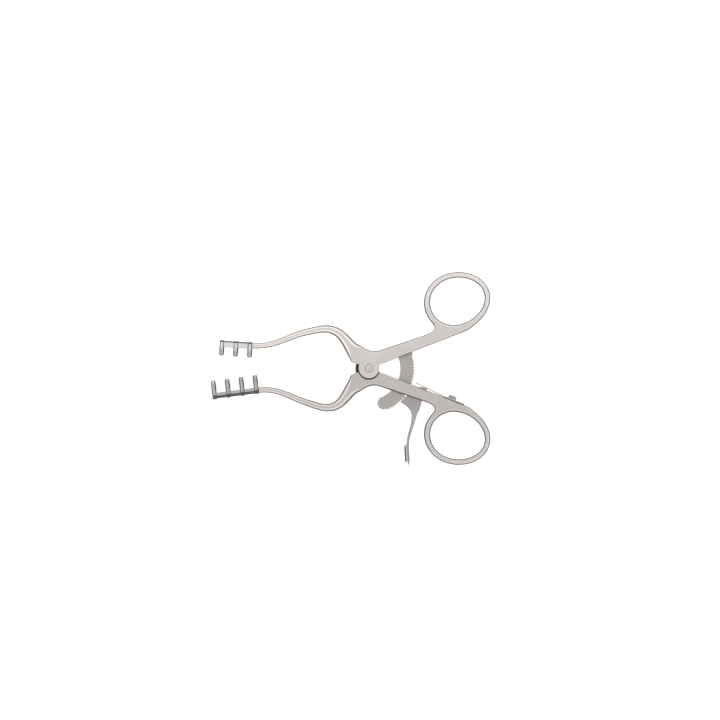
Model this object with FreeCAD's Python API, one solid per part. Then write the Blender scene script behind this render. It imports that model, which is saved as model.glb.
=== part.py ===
import FreeCAD, Part
import os
from math import asin, atan2, cos, degrees, radians, sin, tan

# Self retaining retractor, about 13 cm long, with a three prong and a four prong rake.
# Frame in mm: the origin is on the pivot axis at the flat underside of the arms, +X runs
# to the finger rings, +Y to the three prong arm, +Z to the side that faces the user.
# The prongs point away from the user, down to negative Z.

# Clearances
SEAT_GAP = 0.02            # pieces that are pressed, brazed or screwed together
RUN_GAP = 0.04             # round a pin that something turns on
LAP_GAP = 0.05             # between the two hub halves
SLIDE_GAP = 0.1            # each side of a flat piece that slides in a slot
SIDE_GAP = 0.35            # between the edges of pieces that pass each other

# Arms, forged flat at the hub and the shanks
PLATE = 4.8                # thickness of the hub and the shanks
BEVEL = 0.45               # bevel of every rim
HUB_R = 4.7                # upper arm's half disc
STOP_R = 6.2               # lower arm's half disc, which shows in the front gap
RECESS_DROP = 0.25         # how far the lower arm's recess is bored off the pivot axis
FRONT_R = 8.7              # front corner of an arm, from the pivot
FRONT_ANGLE = 19.5         # front face of an arm, from the -X axis

# Shank, in its own directions: u along it from the pivot, v outwards from its inner edge
SHANK_ANGLE = 21.2
INNER_DROP = 0.16          # how far the inner edge's line passes below the pivot axis
CROTCH_U = 12.6            # where the curve out of the hub ends
CROTCH_W = 5.9             # shank's width there
NECK_U = 28.2              # where the curve into the ring begins
NECK_W = 5.2               # shank's width there

# Finger rings, an egg shape
RING_U = 49.1              # centre of the ring, along the shank and out from it
RING_V = 14.4
RING_A = 12.6              # half length of the opening
RING_B = 10.6              # half width of the opening
RING_EGG = 0.064           # how much wider the front end is, as a share
RING_TILT = 17.0           # the egg's long axis, from +X
RING_W = 2.7               # wire's width at the far side
RING_H = 3.3               # wire's height at the far side
RING_ROOT_W = 3.2          # wire's width at the shank
RING_SINK = 0.2            # how far the wire stays under the flat web, each side
RING_STEP = 40             # angle from one section of the wire to the next
RING_ROOT = 225.0          # direction of the shank, seen from the ring, in the egg's angle
WEB_LEFT = 206.0           # egg angles where the web runs out into the ring's wire
WEB_RIGHT = 292.0
WEB_SINK = 0.15            # how far the web's outline stays inside the wire there
SEAT_BACK = 1.9            # from the ring's centre back to the end of the straight inner edge
CROTCH_PULL = 5.8          # how long each curve of the plate holds its starting direction
WAIST_PULL = 4.3
SEAT_PULL = 2.8

# Limbs, from the hub to the rake
UPPER_REACH = 53.4         # from the pivot to the end of the upper bar, along X
LOWER_REACH = 50.4
LIMB_ROOT = [              # x, y and width at the first stations, for an arm above the axis
    (-5.8, 7.05, 8.1), (-7.8, 9.2, 6.5), (-11.15, 13.6, 4.9),
]
UPPER_LIMB = [             # share of the way left to the end, y and width at each further station
    (0.0864, 16.8, 4.1), (0.1905, 18.1, 3.6), (0.3231, 17.5, 3.3), (0.5101, 15.5, 2.95),
    (0.6947, 12.5, 2.75), (0.8698, 10.6, 2.55), (1.0, 10.4, 2.45),
]
LOWER_LIMB = [
    (0.0955, 17.0, 4.1), (0.2102, 18.0, 3.6), (0.3478, 16.9, 3.3), (0.549, 14.1, 2.95),
    (0.7401, 11.1, 2.75), (0.8777, 9.9, 2.6), (1.0, 10.0, 2.5),
]
ROUND_W = 4.3              # a limb no wider than this is a round bar

# Rakes, pressed from sheet
SHEET = 1.8
PRONG_W = 2.2
PRONG_PITCH = 6.45
WEB_L = 3.0                # web between the prongs, along its slope
BELLY_R = 5.5              # bend of a prong, at mid sheet
HOOK_ANGLE = 142.0         # where the bend ends, measured from the inward direction
TIP_L = 1.0                # straight tip after the bend
PRONG_BEVEL = 0.3
UPPER_PRONGS = 3
UPPER_SPREAD = 3.9         # how far the rake turns outwards from the -X direction
UPPER_SLOPE = 26.0         # slope of the web, down towards the wound
UPPER_STRAIGHT = 2.9       # straight run of a prong before the bend
LOWER_PRONGS = 4
LOWER_SPREAD = 7.3
LOWER_SLOPE = 38.0
LOWER_STRAIGHT = 7.2

# Ratchet bar, concentric with the pivot; angles run clockwise from +X, seen from above
RACK_T = 1.6
RACK_IN_R = 14.4
TIP_R = 21.15
TOOTH_H = 0.95
TOOTH_PITCH = 4.0
TOOTH_COUNT = 22
FIRST_TOOTH = -18.0        # tip of the first tooth
STEEP_RUN = 0.25           # angle that the steep face leans over
RACK_ROOT = -34.5          # end of the bar, inside the upper arm
END_RUN = 1.0              # angle from the last tooth to the round free end
RIVET_R = 0.8
RIVET_ANGLE = -28.5
RIVET_APART = 2.95         # between the rivets, across the bar's width

# Release lever with its pawl teeth; its points are given from its pin
LEVER_T = 1.6
LEVER_PIN_RISE = 2.735     # from the tips of the bar's teeth out to the pin's axis
LEVER_PIN_ANGLE = 27.424
LEVER_PIN_R = 0.8
RELEASE = 12.0             # travel of the lever from locked to free
BOSS_R = 2.3
BOSS_FROM = 165.0          # round stretch of the boss, headings from the pin
BOSS_TO = 85.0
PAWL_TEETH = 2
PAWL_AT = 16               # number of the bar's tooth that bears on the nose tooth
PAWL_BACKLASH = 1.0        # angle between a pawl tooth and the steep face that it holds
PAWL_LIFT = 0.35           # depth of a tooth gap that the pawl leaves free
NOSE_ANGLE = 1.4           # how far the nose reaches past the steep face it holds
HEEL = (4.75, 1.3)         # centre of the round heel that the leaf spring presses on
HEEL_R = 0.6
HEEL_FROM = 100.0          # round stretch of the heel, headings from its centre
HEEL_TO = -20.0
HEEL_BULGE = 0.35          # rise of the edge between boss and heel
BLADE = [(3.1, -3.9), (2.6, -6.2), (1.3, -9.4)]  # rear edge, down to the stem
BEAK_MID = (-3.45, -6.8)   # the curve from the stem's front to the nose
BEAK_END = (-1.6, -10.2)
STEM = [                   # x, y, width and height at each station
    (0.0, -7.4, 3.8, 1.5), (-0.45, -10.4, 2.5, 1.9), (-0.9, -12.9, 1.9, 2.7),
    (-2.0, -17.0, 1.45, 4.2), (-2.9, -20.2, 1.35, 5.0), (-3.4, -23.4, 1.3, 5.4),
    (-3.35, -27.6, 1.3, 5.4), (-3.05, -31.0, 1.1, 4.8), (-3.1, -33.2, 0.8, 3.8),
]

# Serrated thumb pad, brazed to the stem
PAD = (-3.85, -24.0)       # upper end of the pad's back, from the lever's pin
PAD_LEAN = 3.0             # from the -Y direction
PAD_L = 7.8
PAD_WIDE = 8.0
PAD_T = 1.0
RIDGE_H = 0.35
RIDGE_COUNT = 10
CURL_R = 0.5

# Leaf spring and its screw
LEAF_T = 0.5
LEAF_WIDE = 3.8
LEAF_SEAT_U = 38.3         # where the leaf leaves its seat, along the shank
LEAF_SEAT_L = 8.3          # length on the seat
LEAF_PAST = 5.2            # how far the tip reaches past the heel
LEAF_TOUCH = 0.05          # gap between the leaf and the heel
SCREW_INSET = 2.3          # from where the leaf leaves its seat to the screw
SCREW_R = 1.0
SCREW_L = 3.4              # length in the arm
HEAD_R = 1.95
HEAD_H = 1.5
DRIVE_W = 0.7
DRIVE_DEPTH = 0.7

# Pivot screw
PIVOT_R = 1.3
PIVOT_HEAD_R = 1.8
PIVOT_HEAD_H = 1.0

OVER = 1.0                 # how far a cutting tool runs past what it cuts
MID = PLATE / 2
EVEN_SIDE = tan(radians(15))  # half side of an even twelve sided bar, by its half width
EVEN_CORNER = 1 - EVEN_SIDE   # how far its corners are cut back, and where the two faces meet
EVEN_INSET = EVEN_SIDE / EVEN_CORNER
LOFT_DEGREE = 3
UP = FreeCAD.Vector(0, 0, 1)
ORIGIN = FreeCAD.Vector(0, 0, 0)
REACH = 4 * (RING_U + RING_A)  # wider than the whole instrument


def vec(x, y, z=0.0):
    return FreeCAD.Vector(x, y, z)


def polar(radius, angle):
    """Point at an angle that runs clockwise from +X, in degrees."""
    return vec(radius * cos(radians(angle)), -radius * sin(radians(angle)))


def heading(angle):
    """Unit vector at an angle that runs counterclockwise from +X, in degrees."""
    return vec(cos(radians(angle)), sin(radians(angle)))


def line(start, end):
    return Part.LineSegment(start, end).toShape()


def arc(start, middle, end):
    return Part.Arc(start, middle, end).toShape()


def curve(start, leave, arrive, end):
    """Smooth curve that leaves start towards leave and comes to end from arrive."""
    bezier = Part.BezierCurve()
    bezier.setPoles([start, leave, arrive, end])
    return bezier.toShape()


def smooth(points):
    spline = Part.BSplineCurve()
    spline.interpolate(points)
    return spline.toShape()


def prism(edges, low, high):
    """Solid between two heights with the closed outline that the edges make."""
    wire = Part.Wire(edges)
    wire.translate(UP * low)
    return Part.Face(wire).extrude(UP * (high - low))


def plate_prism(edges):
    """Plate with the closed outline that the edges make, with ruled faces for its sides."""
    under = Part.Wire(edges)
    face = under.copy()
    face.translate(UP * PLATE)
    return Part.makeLoft([under, face], True, True)


def disc(radius, low, high, centre=ORIGIN):
    return Part.makeCylinder(radius, high - low, vec(centre.x, centre.y, low))


def section(centre, side, width, height, corner=0.0, inset=0.0):
    """Outline across a path, its width along side and its height along Z.

    A corner may be cut back by two faces, which meet at an inset from the square corner.
    """
    half_w = width / 2
    half_h = height / 2
    quarter = [(half_w - inset, half_h - inset)]
    if corner:
        quarter = [(half_w - corner, half_h)] + quarter + [(half_w, half_h - corner)]
    points = []
    for sx, sz in ((1, 1), (1, -1), (-1, -1), (-1, 1)):
        turn = quarter if sx == sz else quarter[::-1]
        points += [centre + side * (sx * across) + UP * (sz * rise) for across, rise in turn]
    return Part.makePolygon(points + points[:1])


def loft(sections, closed=False):
    return Part.makeLoft(sections, True, False, closed, LOFT_DEGREE)


def bevelled(solid, size, wanted):
    """Bevel the edges for which wanted is true."""
    chosen = [edge for edge in solid.Edges if wanted(edge)]
    return solid.makeChamfer(size, chosen)


def on_rim(edge, low, high):
    """True for an edge that lies flat in the bottom or the top face of a plate."""
    box = edge.BoundBox
    level = abs(box.ZMax - box.ZMin) < 1e-6
    return level and min(abs(box.ZMin - low), abs(box.ZMin - high)) < 1e-6


def shank(along, out):
    """Point of the upper arm's shank from its distances along and outwards."""
    u = heading(SHANK_ANGLE)
    v = heading(SHANK_ANGLE + 90)
    return u * along + v * (out - INNER_DROP)


def ring_point(angle, grow):
    """Point on the ring's egg, grown outwards from the opening's edge."""
    along = heading(RING_TILT) * ((RING_A + grow) * cos(radians(angle)))
    fullness = 1 - RING_EGG * cos(radians(angle))
    across = heading(RING_TILT + 90) * ((RING_B + grow) * fullness * sin(radians(angle)))
    return shank(RING_U, RING_V) + along + across


def ring_direction(angle, grow):
    """Unit vector along the egg at an angle."""
    step = 0.5
    ahead = ring_point(angle + step, grow) - ring_point(angle - step, grow)
    return ahead.normalize()


def ring_opening():
    """Tool that cuts the finger opening out of the web."""
    points = [ring_point(angle, 0) for angle in range(0, 360, RING_STEP)]
    egg = Part.BSplineCurve()
    egg.interpolate(points, PeriodicFlag=True)
    return prism([egg.toShape()], -OVER, PLATE + OVER)


def ring_wire():
    """Closed wire of the ring, high at the shank and low at the far side."""
    sections = []
    for angle in range(0, 360, RING_STEP):
        near = ((1 + cos(radians(angle - RING_ROOT))) / 2) ** 2
        width = RING_W + (RING_ROOT_W - RING_W) * near
        height = RING_H + (PLATE - 2 * RING_SINK - RING_H) * near
        corner = EVEN_CORNER * width / 2
        side = ring_direction(angle, width / 2).cross(UP)
        centre = ring_point(angle, width / 2) + UP * MID
        sections.append(section(centre, side, width, height, corner, corner * EVEN_INSET))
    return loft(sections, closed=True)


def limb_stations(reach, further):
    """Stations of a whole limb, as x, y and width."""
    root = LIMB_ROOT[-1][0]
    return LIMB_ROOT + [(root - share * (reach + root), y, width) for share, y, width in further]


def limb_path(stations, spread):
    """Middle line of a limb through its stations, ending in the rake's direction."""
    points = [vec(x, y, MID) for x, y, width in stations]
    first = (points[1] - points[0]).normalize()
    last = heading(180 - spread)
    path = Part.BSplineCurve()
    path.interpolate(points, InitialTangent=first, FinalTangent=last)
    return points, path


def limb_sides(stations, spread):
    """Inner and outer end of the limb's first section, where it meets the hub plate."""
    points, path = limb_path(stations, spread)
    ahead = path.tangent(path.parameter(points[0]))[0]
    half = ahead.cross(UP) * (stations[0][2] / 2)
    middle = vec(points[0].x, points[0].y)
    return middle - half, middle + half, ahead


def limb_height(width):
    """Height of a limb's section: the plate's height where wide, round where narrow."""
    blend = 8
    return width * PLATE / (width ** blend + PLATE ** blend) ** (1 / blend)


def limb(stations, spread):
    """Limb that turns from a flat plate at the hub into a round bar."""
    points, path = limb_path(stations, spread)
    root_w = stations[0][2]
    sections = []
    for point, station in zip(points, stations):
        width = station[2]
        height = PLATE if width == root_w else limb_height(width)
        roundness = 1 - max(0, (width - ROUND_W) / (root_w - ROUND_W))
        roundest = EVEN_CORNER * min(width, height) / 2
        corner = BEVEL + (roundest - BEVEL) * roundness
        inset = corner * ((1 - roundness) / 2 + roundness * EVEN_INSET)
        side = path.tangent(path.parameter(point))[0].cross(UP)
        sections.append(section(point, side, width, height, corner, inset))
    return loft(sections)


def hub_plate(stations, spread):
    """Flat part of an arm: hub, shank and the web that carries the ring."""
    inner, outer, ahead = limb_sides(stations, spread)
    front = polar(FRONT_R, 180 + FRONT_ANGLE)
    throat = shank(HUB_R, 0)
    crotch = shank(CROTCH_U, CROTCH_W)
    neck = shank(NECK_U, NECK_W)
    seat_end = shank(RING_U - SEAT_BACK, 0)
    out_along = (neck - crotch).normalize()
    in_along = heading(SHANK_ANGLE)
    left = ring_point(WEB_LEFT, RING_ROOT_W - WEB_SINK)
    right = ring_point(WEB_RIGHT, RING_ROOT_W - WEB_SINK)
    left_in = ring_point(WEB_LEFT, RING_W / 2)
    right_in = ring_point(WEB_RIGHT, RING_W / 2)
    before_left = left + ring_direction(WEB_LEFT, RING_W) * WAIST_PULL
    after_right = right - ring_direction(WEB_RIGHT, RING_W) * SEAT_PULL
    edges = [
        line(front, inner),
        line(inner, outer),
        curve(outer, outer - ahead * CROTCH_PULL, crotch - out_along * CROTCH_PULL, crotch),
        line(crotch, neck),
        curve(neck, neck + out_along * WAIST_PULL, before_left, left),
        line(left, left_in),
        line(left_in, right_in),
        line(right_in, right),
        curve(right, after_right, seat_end + in_along * SEAT_PULL, seat_end),
        line(seat_end, throat),
        line(throat, ORIGIN),
        line(ORIGIN, front),
    ]
    plate = plate_prism(edges).cut(ring_opening())
    joint = (inner + outer) * 0.5

    def rim(edge):
        middle = edge.CenterOfMass
        flat_middle = vec(middle.x, middle.y)
        at_hub = flat_middle.Length < HUB_R
        at_limb = flat_middle.distanceToPoint(joint) < BEVEL
        return on_rim(edge, 0, PLATE) and not at_hub and not at_limb

    return bevelled(plate, BEVEL, rim)


def blank(stations, spread):
    """Arm above the axis before the hub halves and slots are cut."""
    return hub_plate(stations, spread).fuse([limb(stations, spread), ring_wire()])


def drilled(solid, place, radius):
    return solid.cut(disc(radius, -OVER, PLATE + OVER, place))


def rivet_places():
    """Axes of the two rivets that hold the ratchet bar in the upper arm."""
    middle = (RACK_IN_R + TIP_R) / 2
    return [polar(middle + side * RIVET_APART / 2, RIVET_ANGLE) for side in (-1, 1)]


def sector(inner, outer, start, end, low, high):
    """Part of a flat ring between two clockwise angles."""
    middle = (start + end) / 2
    edges = [
        arc(polar(outer, start), polar(outer, middle), polar(outer, end)),
        line(polar(outer, end), polar(inner, end)),
        arc(polar(inner, end), polar(inner, middle), polar(inner, start)),
        line(polar(inner, start), polar(outer, start)),
    ]
    return prism(edges, low, high)


def upper_arm():
    """Arm with the upper half disc of the hub and a pocket for the ratchet bar."""
    body = blank(limb_stations(UPPER_REACH, UPPER_LIMB), UPPER_SPREAD)
    body = body.cut(disc(STOP_R + SIDE_GAP, -OVER, MID + LAP_GAP / 2))
    body = body.fuse(disc(HUB_R, MID + LAP_GAP / 2, PLATE))
    half = RACK_T / 2 + SEAT_GAP
    root = RACK_ROOT - degrees(SEAT_GAP / RACK_IN_R)
    pocket = sector(
        RACK_IN_R - SEAT_GAP, TIP_R + SEAT_GAP, root, FIRST_TOOTH, MID - half, MID + half)
    body = body.cut(pocket)
    for place in rivet_places():
        body = drilled(body, place, RIVET_R + SEAT_GAP)
    body = drilled(body, ORIGIN, PIVOT_R + RUN_GAP)
    sunk = PLATE - PIVOT_HEAD_H - RUN_GAP
    return body.cut(disc(PIVOT_HEAD_R + RUN_GAP, sunk, PLATE + OVER))


def low_shank(along, inward):
    """Point of the lower arm's shank: along it, and inwards from its inner edge."""
    point = shank(along, -inward)
    return vec(point.x, -point.y)


def lever_pin():
    return polar(TIP_R + LEVER_PIN_RISE, LEVER_PIN_ANGLE)


def on_lever(place):
    """Point of the lever that is given from its pin."""
    return lever_pin() + vec(*place)


def lever_reach():
    """How far along the shank the lever reaches between locked and free."""
    along = heading(-SHANK_ANGLE)
    swing = FreeCAD.Rotation(UP, RELEASE)
    reach = [on_lever(HEEL).dot(along) + HEEL_R]
    for place in BLADE:
        swung = lever_pin() + swing.multVec(vec(*place))
        reach.append(swung.dot(along))
    return max(reach)


def lever_slot():
    """Tool that cuts the slot for the ratchet bar and the lever through the lower shank."""
    half = LEVER_T / 2 + SLIDE_GAP
    end = lever_reach() + SIDE_GAP
    corners = [low_shank(end, -REACH), low_shank(end, NECK_W),
               low_shank(HUB_R, NECK_W), low_shank(HUB_R, -REACH)]
    edges = [line(corners[i - 1], corners[i]) for i in range(4)]
    return prism(edges, MID - half, MID + half).cut(disc(RACK_IN_R - SIDE_GAP, 0, PLATE))


def lower_arm():
    """Arm with the lower half disc, the slot for bar and lever, and the spring's seat."""
    stations = limb_stations(LOWER_REACH, LOWER_LIMB)
    body = blank(stations, LOWER_SPREAD).mirror(ORIGIN, vec(0, 1))
    recess = disc(HUB_R + SIDE_GAP, MID - LAP_GAP / 2, PLATE + OVER, vec(0, -RECESS_DROP))
    body = body.cut(recess)
    behind = Part.makeBox(REACH, REACH, REACH, vec(HUB_R, -REACH / 2, -REACH / 2))
    body = body.fuse(disc(STOP_R, 0, MID - LAP_GAP / 2).cut(behind))
    body = drilled(body, ORIGIN, PIVOT_R + SEAT_GAP)
    body = body.cut(lever_slot())
    body = drilled(body, lever_pin(), LEVER_PIN_R + SEAT_GAP)
    foot, out = screw_axis()
    depth = SCREW_L + SEAT_GAP + OVER
    tapped = Part.makeCylinder(SCREW_R + SEAT_GAP, depth, foot + out * OVER, out * -1)
    return body.cut(tapped)


def rake(stations, prongs, spread, slope, straight):
    """Row of hooked prongs on a web, at the end of an arm above the axis."""
    along = heading(180 - spread)
    inward = heading(270 - spread)
    end = vec(stations[-1][0], stations[-1][1], MID)

    def ahead(angle):
        return inward * cos(radians(angle)) - UP * sin(radians(angle))

    def above(angle):
        return inward * sin(radians(angle)) + UP * cos(radians(angle))

    start = end - ahead(slope) * (WEB_L / 2)
    bend = start + ahead(slope) * straight
    centre = bend - above(slope) * BELLY_R

    def face(side):
        """Points of one face of the sheet, from the outer edge to the tip."""
        offset = side * SHEET / 2
        arc_ends = [centre + above(angle) * (BELLY_R + offset)
                    for angle in (slope, (slope + HOOK_ANGLE) / 2, HOOK_ANGLE)]
        return [start + above(slope) * offset] + arc_ends + [arc_ends[-1] + ahead(HOOK_ANGLE) * TIP_L]

    top = face(1)
    under = face(-1)
    outline = [
        line(top[0], top[1]), arc(top[1], top[2], top[3]), line(top[3], top[4]),
        line(top[4], under[4]),
        line(under[4], under[3]), arc(under[3], under[2], under[1]), line(under[1], under[0]),
        line(under[0], top[0]),
    ]
    prong = Part.Face(Part.Wire(outline)).extrude(along * PRONG_W)

    def belly(edge):
        """True for an edge of the prong's outer face, from the bend to the tip."""
        middle = edge.CenterOfMass
        across = (middle - centre).cross(along).Length
        return middle.z < bend.z - SHEET and across > BELLY_R

    prong = bevelled(prong, PRONG_BEVEL, belly)
    reach = ahead(slope) * WEB_L
    corners = [top[0], top[0] + reach, under[0] + reach, under[0]]
    web_edges = [line(corners[i - 1], corners[i]) for i in range(4)]
    length = (prongs - 1) * PRONG_PITCH + PRONG_W
    web = Part.Face(Part.Wire(web_edges)).extrude(along * length)
    row = []
    for number in range(prongs):
        copy = prong.copy()
        copy.translate(along * (number * PRONG_PITCH))
        row.append(copy)
    return web.fuse(row).removeSplitter()


def three_prong_rake():
    stations = limb_stations(UPPER_REACH, UPPER_LIMB)
    return rake(stations, UPPER_PRONGS, UPPER_SPREAD, UPPER_SLOPE, UPPER_STRAIGHT)


def four_prong_rake():
    stations = limb_stations(LOWER_REACH, LOWER_LIMB)
    row = rake(stations, LOWER_PRONGS, LOWER_SPREAD, LOWER_SLOPE, LOWER_STRAIGHT)
    return row.mirror(ORIGIN, vec(0, 1))


def ratchet_bar():
    """Curved bar with fine teeth whose steep faces look back to the upper arm."""
    root_r = TIP_R - TOOTH_H
    half = (RACK_IN_R + root_r) / 2
    end_r = (root_r - RACK_IN_R) / 2
    last = FIRST_TOOTH + TOOTH_PITCH * (TOOTH_COUNT - 1)
    edges = [arc(polar(TIP_R, RACK_ROOT), polar(TIP_R, (RACK_ROOT + FIRST_TOOTH) / 2),
                 polar(TIP_R, FIRST_TOOTH))]
    for number in range(TOOTH_COUNT - 1):
        tip = FIRST_TOOTH + number * TOOTH_PITCH
        gap = polar(root_r, tip + TOOTH_PITCH - STEEP_RUN)
        edges.append(line(polar(TIP_R, tip), gap))
        edges.append(line(gap, polar(TIP_R, tip + TOOTH_PITCH)))
    free_end = last + END_RUN
    around = free_end + degrees(end_r / half)
    edges.append(line(polar(TIP_R, last), polar(root_r, free_end)))
    edges.append(arc(polar(root_r, free_end), polar(half, around), polar(RACK_IN_R, free_end)))
    edges.append(arc(polar(RACK_IN_R, free_end), polar(RACK_IN_R, 0), polar(RACK_IN_R, RACK_ROOT)))
    edges.append(line(polar(RACK_IN_R, RACK_ROOT), polar(TIP_R, RACK_ROOT)))
    bar = prism(edges, MID - RACK_T / 2, MID + RACK_T / 2)
    for place in rivet_places():
        bar = drilled(bar, place, RIVET_R + SEAT_GAP)
    return bar


def ratchet_rivets():
    """Two rivets, ground flush with both faces of the arm."""
    return Part.makeCompound([disc(RIVET_R, 0, PLATE, place) for place in rivet_places()])


def pawl_points():
    """Corners of the pawl teeth, from the nose towards the pin."""
    clear_r = TIP_R + PAWL_LIFT
    point_r = clear_r - TOOTH_H
    steep = FIRST_TOOTH + TOOTH_PITCH * PAWL_AT
    points = [polar(TIP_R + SLIDE_GAP, steep + NOSE_ANGLE)]
    for number in range(PAWL_TEETH):
        tooth = steep - PAWL_BACKLASH - number * TOOTH_PITCH
        points.append(polar(clear_r, tooth + STEEP_RUN))
        points.append(polar(point_r, tooth - STEEP_RUN))
    points.append(polar(clear_r, steep - PAWL_BACKLASH - PAWL_TEETH * TOOTH_PITCH))
    return points


def release_lever():
    """Flat pawl plate in the lower arm's slot, with a stem that is twisted edge on."""
    teeth = pawl_points()
    pin = lever_pin()
    boss_left = pin + heading(BOSS_FROM) * BOSS_R
    boss_middle = pin + heading((BOSS_FROM + BOSS_TO) / 2) * BOSS_R
    boss_top = pin + heading(BOSS_TO) * BOSS_R
    heel = on_lever(HEEL)
    heel_top = heel + heading(HEEL_FROM) * HEEL_R
    heel_middle = heel + heading((HEEL_FROM + HEEL_TO) / 2) * HEEL_R
    heel_back = heel + heading(HEEL_TO) * HEEL_R
    crown = (boss_top + heel_top) * 0.5 + heading(90 - SHANK_ANGLE) * HEEL_BULGE
    blade = [on_lever(place) for place in BLADE]
    beak_end = on_lever(BEAK_END)
    edges = [line(teeth[i], teeth[i + 1]) for i in range(len(teeth) - 1)]
    edges += [
        line(teeth[-1], boss_left),
        arc(boss_left, boss_middle, boss_top),
        arc(boss_top, crown, heel_top),
        arc(heel_top, heel_middle, heel_back),
        line(heel_back, blade[0]),
        smooth(blade),
        line(blade[-1], beak_end),
        arc(beak_end, on_lever(BEAK_MID), teeth[0]),
    ]
    plate = prism(edges, MID - LEVER_T / 2, MID + LEVER_T / 2)
    lever = plate.fuse(lever_stem()).cut(pad_body(SEAT_GAP))
    return drilled(lever, pin, LEVER_PIN_R + RUN_GAP)


def lever_stem():
    """Stem that turns from the plate's plane to stand edge on."""
    points = [on_lever((x, y, MID)) for x, y, width, height in STEM]
    path = Part.BSplineCurve()
    path.interpolate(points)
    sections = []
    for point, station in zip(points, STEM):
        x, y, width, height = station
        side = path.tangent(path.parameter(point))[0].cross(UP)
        sections.append(section(point, side, width, height))
    return loft(sections)


def pad_directions():
    """Down along the pad's back, and out of its face."""
    out = heading(PAD_LEAN) * -1
    return vec(-out.y, out.x), out


def pad_body(grow):
    """Flat plate of the thumb pad, grown on every side."""
    back = on_lever(PAD)
    down, out = pad_directions()
    corners = [
        back - out * grow - down * grow,
        back + out * (PAD_T + grow) - down * grow,
        back + out * (PAD_T + grow) + down * (PAD_L + grow),
        back - out * grow + down * (PAD_L + grow),
    ]
    edges = [line(corners[i - 1], corners[i]) for i in range(4)]
    return prism(edges, MID - PAD_WIDE / 2 - grow, MID + PAD_WIDE / 2 + grow)


def thumb_pad():
    """Pad with cross ridges on its outer face and a small curl at its upper end."""
    back = on_lever(PAD)
    down, out = pad_directions()
    pitch = (PAD_L - 2 * CURL_R) / RIDGE_COUNT
    face = back + out * (PAD_T - SEAT_GAP)
    low = MID - PAD_WIDE / 2
    high = MID + PAD_WIDE / 2
    ridges = []
    for number in range(RIDGE_COUNT):
        foot = face + down * (2 * CURL_R + number * pitch)
        crest = foot + out * (RIDGE_H + SEAT_GAP) + down * (pitch / 2)
        edges = [line(foot, crest), line(crest, foot + down * pitch), line(foot + down * pitch, foot)]
        ridges.append(prism(edges, low, high))
    curl = disc(CURL_R, low, high, back + out * PAD_T + down * CURL_R)
    return pad_body(0).fuse(ridges + [curl]).removeSplitter()


def lever_pin_solid():
    return disc(LEVER_PIN_R, 0, PLATE, lever_pin())


def leaf_direction():
    """Direction of the leaf's free part, so that its underside rests on the heel."""
    start = low_shank(LEAF_SEAT_U, SEAT_GAP)
    to_heel = on_lever(HEEL) - start
    lean = asin((HEEL_R + LEAF_TOUCH) / to_heel.Length)
    return heading(degrees(atan2(to_heel.y, to_heel.x) - lean))


def leaf_spring():
    """Flat leaf, screwed to the shank's inner edge and bent up to the lever's heel."""
    out = heading(90 - SHANK_ANGLE)
    free = leaf_direction()
    rise = vec(free.y, -free.x)
    rear = low_shank(LEAF_SEAT_U + LEAF_SEAT_L, SEAT_GAP)
    knee = low_shank(LEAF_SEAT_U, SEAT_GAP)
    tip = knee + free * ((on_lever(HEEL) - knee).Length + LEAF_PAST)
    bisector = (out + rise).normalize()
    edges = [
        line(rear, knee), line(knee, tip), line(tip, tip + rise * LEAF_T),
        line(tip + rise * LEAF_T, knee + bisector * LEAF_T),
        line(knee + bisector * LEAF_T, rear + out * LEAF_T), line(rear + out * LEAF_T, rear),
    ]
    leaf = prism(edges, MID - LEAF_WIDE / 2, MID + LEAF_WIDE / 2)
    foot, axis = screw_axis()
    return leaf.cut(Part.makeCylinder(SCREW_R + SEAT_GAP, HEAD_H, foot - axis * SEAT_GAP, axis))


def screw_axis():
    """Foot of the spring screw on the lower shank's inner edge, and its direction."""
    foot = low_shank(LEAF_SEAT_U + SCREW_INSET, 0)
    return vec(foot.x, foot.y, MID), heading(90 - SHANK_ANGLE)


def spring_screw():
    """Slotted screw with a low round head."""
    foot, axis = screw_axis()
    seat = foot + axis * (LEAF_T + 2 * SEAT_GAP)
    shaft_l = SCREW_L + LEAF_T + HEAD_H / 2
    shaft = Part.makeCylinder(SCREW_R, shaft_l, foot - axis * SCREW_L, axis)
    head = Part.makeCylinder(HEAD_R, HEAD_H, seat, axis)
    top = HEAD_H / 2
    head = bevelled(head, BEVEL, lambda edge: (edge.CenterOfMass - seat).dot(axis) > top)
    drive = Part.makeBox(4 * HEAD_R, DRIVE_W, HEAD_H, vec(-2 * HEAD_R, -DRIVE_W / 2))
    drive.Placement = FreeCAD.Placement(seat + axis * (HEAD_H - DRIVE_DEPTH), FreeCAD.Rotation(UP, axis))
    return head.fuse(shaft).cut(drive)


def pivot_screw():
    """Flush screw that holds the two hub halves together."""
    shaft = disc(PIVOT_R, 0, PLATE - PIVOT_HEAD_H / 2)
    return shaft.fuse(disc(PIVOT_HEAD_R, PLATE - PIVOT_HEAD_H, PLATE))


PIECES = {
    "upper_arm": upper_arm,
    "lower_arm": lower_arm,
    "three_prong_rake": three_prong_rake,
    "four_prong_rake": four_prong_rake,
    "ratchet_bar": ratchet_bar,
    "ratchet_rivets": ratchet_rivets,
    "release_lever": release_lever,
    "thumb_pad": thumb_pad,
    "lever_pin": lever_pin_solid,
    "leaf_spring": leaf_spring,
    "spring_screw": spring_screw,
    "pivot_screw": pivot_screw,
}

if __name__ == "__main__":
    os.makedirs("parts", exist_ok=True)
    for name, build in PIECES.items():
        build().exportStep("parts/" + name + ".step")
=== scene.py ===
from math import atan2, cos, pi, radians, sin

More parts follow.
